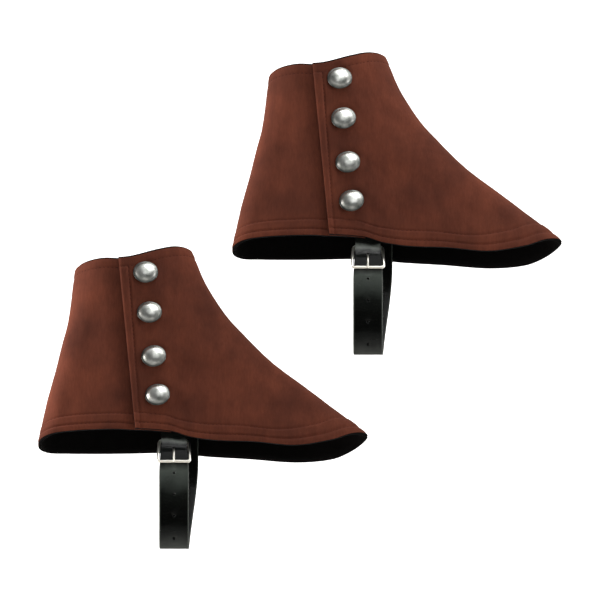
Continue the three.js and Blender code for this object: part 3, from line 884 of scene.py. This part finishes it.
for number, height in enumerate(SNAP_HEIGHTS, 1):
    straight_out = surface_normal(*locate(flap_edge(height) + SNAP_SETBACK, height, OUTER), OUTER)
    for part, profile, axis, lift in (("cap", CAP_PROFILE, lean(straight_out), CAP_LIFT),
                                      ("post", POST_PROFILE, -straight_out, 0)):
        low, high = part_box(f"spat_a_snap_{part}_{number}")
        tall = max(h for _, h in profile) * MM
        piece = spun(f"spat_a_snap_{part}_{number}_finish", profile, axis,
                     (low + high) / 2 - axis * tall / 2 + straight_out * lift, SILVER)
        settle(piece, f"snap_{part}_{number}")
print("caps and posts:", 4 * len(SNAP_HEIGHTS))

# %% [markdown]
# ## A band of leather
# The strap and the buckle's tab are both flat grids laid along a route, with a row of cells at each hole.
# A hole is one vertex taken away and its eight neighbours drawn on to a circle. Solidify gives the
# thickness, and a small bevel burnishes the edges.

# %% Band maker
def smooth_route(points):
    """A smooth curve of (y, z) along its length, and that length."""
    marks, runs = [], 0.0
    for i, point in enumerate(points):
        runs += math.dist(point, points[i - 1]) if i else 0
        marks.append(runs)
    across, up = (smooth_curve([(m, p[k]) for m, p in zip(marks, points)]) for k in (0, 1))
    return (lambda s: (across(s), up(s))), runs


def band(name, route, rows, columns, width_at, middle_at, holes, thickness, material, crease_at=None):
    """A flat band along a route, solid and with worn edges. rows and columns are cell edges from 0 to 1."""
    place, length = smooth_route(route)
    bm = bmesh.new()
    made = flat_grid(bm, columns, rows)
    uv = uv_layer(bm)
    at = {}
    for vert in made:
        column, row = grid_place(vert, columns, rows)
        at[vert] = Vector(((columns[column] - 0.5) * width_at(rows[row]), rows[row] * length))
    for run, radius in holes:
        centre = min(made, key=lambda v: (at[v] - Vector((0, run))).length if v.is_valid else 1e9)
        middle = at[centre].copy()
        ring = {v for face in centre.link_faces for v in face.verts if v is not centre}
        for vert in ring:
            at[vert] = middle + (at[vert] - middle).normalized() * radius
        made.remove(centre)
        bmesh.ops.delete(bm, geom=[centre], context="VERTS")
    for face in bm.faces:
        for loop in face.loops:
            loop[uv].uv = at[loop.vert] * MM
    for vert in made:
        x, run = at[vert]
        (y, z), (y2, z2) = place(run), place(run + 0.5)
        out = Vector((0, -(z - z2), y - y2)).normalized()
        lift = crease_at(x, run) if crease_at else 0
        vert.co = in_frame(Vector((middle_at(run / length) + x, y, z)) + out * lift)
    bmesh.ops.recalc_face_normals(bm, faces=bm.faces)
    area = sum(face.calc_area() for face in bm.faces)
    piece = finish_mesh(bm, name, [material])
    solid = piece.modifiers.new("thickness", "SOLIDIFY")
    solid.thickness, solid.offset = thickness * MM, 0
    worn = piece.modifiers.new("worn_edges", "BEVEL")
    worn.width, worn.segments, worn.limit_method = 0.35 * MM, 2, "ANGLE"
    return piece, area, length


print("a straight route of 30 mm measures", round(smooth_route([(0, 0), (0, 10), (0, 30)])[1], 2), "mm")

# %% [markdown]
# ## Strap
# It starts behind the outer hem, runs through the buckle and down under the shoe, and rises to the inner
# hem, where it is sewn in. It is a little narrower at its tail. Small wrinkles show beside the holes.

# %% Strap
STRAP_WIDTH, TAIL_WIDTH = 21.2, 18.2
STRAP_THICKNESS = 1.6
STRAP_X, STRAP_FAR_X = 97.4, 104.3
STRAP_ROUTE = [(-14.3, 12), (-14.3, -1), (-15.95, -20), (-14.2, -37), (-10.4, -56), (-6.4, -71.5),
               (0, -79.3), (6.4, -71.5), (11, -50), (14.6, -24), (16.6, 0), (17.2, 14)]
HOLES = (40, 55.7, 71.4, 87.1)
HOLE_RADIUS = 1.0
PRONG_HOLE, PRONG_HOLE_RADIUS = 22, 1.25


def strap_width(part):
    return lerp(TAIL_WIDTH, STRAP_WIDTH, smoothstep(part, 0.06, 0.22))


def strap_middle(part):
    return lerp(STRAP_X, STRAP_FAR_X, smoothstep(part, 0.45, 0.9))


def strap_crease(x, run):
    """Small wrinkles beside the holes, where the prong has pulled before."""
    off = 0.7 * bell(run - 16.5, 4) + 0.9 * bell(run - 21 + 0.08 * x, 1.3) * bell(x + 4, 5)
    off += 0.35 * bell(run - 20.5 - 0.06 * x, 0.9) * bell(x - 6, 3)
    for slant in (-0.25, 0.3):
        off += 0.22 * bell(run - HOLES[0] + 1.7 - slant * x, 0.7) * bell(x, 5)
    for hole in HOLES[1:]:
        off -= 0.2 * bell(math.hypot(x, run - hole), 2.6)
    return off + 0.08 * noise.noise(Vector((x / 7, run / 7, 0)))


_, strap_length = smooth_route(STRAP_ROUTE)
strap_rows = cell_edges([(40 / strap_length, 44), (47.1 / strap_length, 36),
                         (1 - 87.1 / strap_length, 84)])
strap, area, strap_length = band(
    "spat_a_strap_leather", STRAP_ROUTE, strap_rows, cell_edges([(1, 16)]), strap_width, strap_middle,
    [(hole, HOLE_RADIUS) for hole in HOLES] + [(PRONG_HOLE, PRONG_HOLE_RADIUS)],
    STRAP_THICKNESS, LEATHER, strap_crease)
for piece in settle(strap, "strap"):
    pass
print("strap:", round(strap_length, 1), "mm long,", round(area * 1e4, 1), "cm2")

# %% [markdown]
# ## Buckle
# A short leather tab folds round the upper bar and has a slot for the prong. The frame and the prong are
# nickel wire: a curve with a round section, made into a mesh.

# %% Tab
UPPER_BAR, LOWER_BAR = (-10.5, -1), (-18, -20)
BAR_RADIUS, PRONG_RADIUS = 1.05, 0.8
FRAME_TOP_HALF, FRAME_BOTTOM_HALF, FRAME_CORNER = 10.4, 11.6, 2.6
TAB_WIDTH, TAB_THICKNESS, TAB_TOP = 17.4, 1.2, 12
TAB_SLOT_RISE = 5
PRONG_SHAFT = [(-12.6, -5.2), (-13.6, -8), (-17.3, -12), (-19.3, -16), (-20, -19.5), (-20.1, -21.4)]

loop_radius = BAR_RADIUS + GAP + TAB_THICKNESS / 2
bar_y, bar_z = UPPER_BAR
tab_front = bar_y - loop_radius
tab_route = [(tab_front, TAB_TOP), (tab_front, 6), (tab_front, bar_z + 1)]
for degrees in (200, 225, 250, 270, 290, 315, 345):
    angle = math.radians(degrees)
    tab_route.append((bar_y + loop_radius * math.cos(angle), bar_z + loop_radius * math.sin(angle)))
tab_route += [(bar_y + loop_radius, bar_z + 0.4), (tab_front + TAB_THICKNESS + GAP + 0.5, 6),
              (tab_front + TAB_THICKNESS + GAP, TAB_TOP)]
tab, area, tab_length = band(
    "spat_a_buckle_tab_leather", tab_route, cell_edges([(1, 36)]), cell_edges([(1, 14)]),
    lambda part: TAB_WIDTH, lambda part: STRAP_X, [], TAB_THICKNESS, LEATHER)
bm = bmesh.new()
bm.from_mesh(tab.data)
slot_low = in_frame(Vector((STRAP_X - 1.3, 0, -99)))
slot_high = in_frame(Vector((STRAP_X + 1.3, 0, bar_z + TAB_SLOT_RISE)))
slot_faces = [f for f in bm.faces if slot_low.x < f.calc_center_median().x < slot_high.x
              and f.calc_center_median().z < slot_high.z]
bmesh.ops.delete(bm, geom=slot_faces, context="FACES")
bm.to_mesh(tab.data)
bm.free()
for piece in settle(tab, "buckle_tab"):
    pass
print("tab:", round(tab_length, 1), "mm long, slot of", len(slot_faces), "faces")

# %% [markdown]
# The buckle's frame is one closed wire with rounded corners. Its prong is a second wire that is bent round
# the upper bar and tapers to a point over the lower one. A curve with a round section would do as it is,
# but a mesh can be measured and joined to the frame like the other pieces.

# %% Wire frame and prong
def wire(name, points, radii, cyclic, material):
    """A round wire through points in the cut's millimetres, as a mesh."""
    curve = bpy.data.curves.new(name, "CURVE")
    curve.dimensions, curve.bevel_depth, curve.bevel_resolution = "3D", MM, 5
    curve.use_fill_caps = True
    spline = curve.splines.new("POLY")
    spline.points.add(len(points) - 1)
    spline.use_cyclic_u = cyclic
    for made, point, radius in zip(spline.points, points, radii):
        made.co = (*in_frame(Vector(point)), 1)
        made.radius = radius
    holder = bpy.data.objects.new(name + "_curve", curve)
    mesh = bpy.data.meshes.new_from_object(holder)
    bpy.data.objects.remove(holder)
    bpy.data.curves.remove(curve)
    bm = bmesh.new()
    bm.from_mesh(mesh)
    bpy.data.meshes.remove(mesh)
    bmesh.ops.remove_doubles(bm, verts=bm.verts, dist=1e-7)
    bmesh.ops.recalc_face_normals(bm, faces=bm.faces)
    return finish_mesh(bm, name, [material])


top = Vector((STRAP_X, *UPPER_BAR))
fall = Vector((STRAP_X, *LOWER_BAR)) - top
down = fall.normalized()
corners = [(-FRAME_TOP_HALF, 0), (FRAME_TOP_HALF, 0), (FRAME_BOTTOM_HALF, fall.length),
           (-FRAME_BOTTOM_HALF, fall.length)]
outline = []
for i, corner in enumerate(corners):
    corner = Vector(corner)
    start = corner + (Vector(corners[i - 1]) - corner).normalized() * FRAME_CORNER
    end = corner + (Vector(corners[(i + 1) % 4]) - corner).normalized() * FRAME_CORNER
    for t in [k / 8 for k in range(9)]:
        outline.append(start * (1 - t) ** 2 + corner * 2 * t * (1 - t) + end * t ** 2)
frame_points = [top + Vector((1, 0, 0)) * p.x + down * p.y for p in outline]
settle(wire("spat_a_buckle_frame_wire", frame_points, [BAR_RADIUS] * len(frame_points), True, NICKEL),
       "buckle_frame")

prong_loop = BAR_RADIUS + PRONG_RADIUS + GAP
prong_stops = []
for degrees in (-60, -35, -10, 15, 40, 65, 90, 112, 135, 157, 180):
    angle = math.radians(degrees)
    prong_stops.append((bar_y + prong_loop * math.cos(angle), bar_z + prong_loop * math.sin(angle)))
prong_place, prong_length = smooth_route(prong_stops + PRONG_SHAFT)
prong_points = [Vector((STRAP_X, *prong_place(prong_length * i / 70))) for i in range(71)]
prong_radii = [PRONG_RADIUS * (1 - 0.35 * smoothstep(i / 70, 0.85, 1)) for i in range(71)]
settle(wire("spat_a_buckle_prong_wire", prong_points, prong_radii, False, NICKEL), "buckle_prong")
print("buckle wire:", len(frame_points), "points; prong", round(prong_length, 1), "mm")

# %% [markdown]
# ## Light
# A product table: a large soft light overhead, a smaller one in front, a pale floor and a white sheet
# behind. The room between the lamps is dim, so that metal and leather have something to show.

# %% Light and floor
FLOOR_DROP = 0.85
ROOM = [(0.0, 0.4), (0.3, 0.62), (0.41, 0.4), (0.46, 0.1), (0.62, 0.06), (0.72, 0.08),
        (0.84, 0.25), (0.93, 0.6), (1.0, 0.95)]
ROOM_TILT = 0.3
world = bpy.data.worlds.new("dim_room")
bpy.context.scene.world = world
world.use_nodes = True
room = world.node_tree
towards = add_node(room, "ShaderNodeTexCoord").outputs["Generated"]
heading = add_node(room, "ShaderNodeSeparateXYZ", {0: towards})
tilted = add_node(room, "ShaderNodeMath", {
    0: heading.outputs["X"], 1: ROOM_TILT, 2: heading.outputs["Z"]}, operation="MULTIPLY_ADD")
level = add_node(room, "ShaderNodeMapRange", {"Value": tilted.outputs[0], "From Min": -1.0, "From Max": 1.0})
shades = add_node(room, "ShaderNodeValToRGB", {"Fac": level.outputs[0]})
fill_ramp(shades.color_ramp, [(position, (grey, grey, grey, 1)) for position, grey in ROOM])
room.links.new(shades.outputs[0], room.nodes["Background"].inputs["Color"])


def stage_sheet(name, size, place, turn, material):
    bm = bmesh.new()
    bmesh.ops.create_grid(bm, x_segments=1, y_segments=1, size=size / 2)
    bmesh.ops.transform(bm, matrix=Matrix.Translation(place) @ turn, verts=bm.verts)
    sheet = finish_mesh(bm, name, [material])
    return sheet


floor_paint, _, _ = start_material("pale_floor", {"Base Color": linear("e8e6e2"), "Roughness": 0.8})
glow, _, _ = start_material("white_backdrop", {
    "Base Color": linear("ffffff"), "Emission Color": linear("ffffff"), "Emission Strength": 1.05})
stage_sheet("floor", 12, middle - Vector((0, 0, FLOOR_DROP)), Matrix.Identity(4), floor_paint)
stage_sheet("backdrop", 3.6, middle + Vector((0, 2.2, 0.9)), Matrix.Rotation(math.radians(90), 4, "X"), glow)


def soft_lamp(name, place, size, watts, colour):
    lamp = bpy.data.lights.new(name, "AREA")
    lamp.shape = "SQUARE"
    lamp.size, lamp.energy, lamp.color = size, watts, colour
    look_at(bpy.data.objects.new(name, lamp), middle + Vector(place), middle)


soft_lamp("overhead", (0.25, -0.4, 1.1), 0.75, 8.2, (1, 0.99, 0.97))
soft_lamp("front", (0.1, -1.25, 0.85), 0.85, 2.8, (1, 1, 1))
soft_lamp("heel_edge", (-1.1, 0.0, 0.1), 0.7, 25, (1, 0.95, 0.91))
soft_lamp("toe_edge", (0.9, 0.2, 0.5), 0.6, 2.2, (1, 0.98, 0.95))
soft_lamp("toe_side", (1.2, -0.4, 0.2), 0.45, 8.5, (1, 0.98, 0.96))
bpy.context.scene.view_settings.view_transform = "Standard"
print("lamps:", sorted(lamp.name for lamp in bpy.data.lights))

# %% [markdown]
# ## Size
# The finished cloth stands a little proud of the solids where seams are turned in and snaps are pressed on.

# %% Size of the CAD frame
print("CAD size in mm:", [round((h - l) / MM, 1) for l, h in zip(*cad_bounds)])
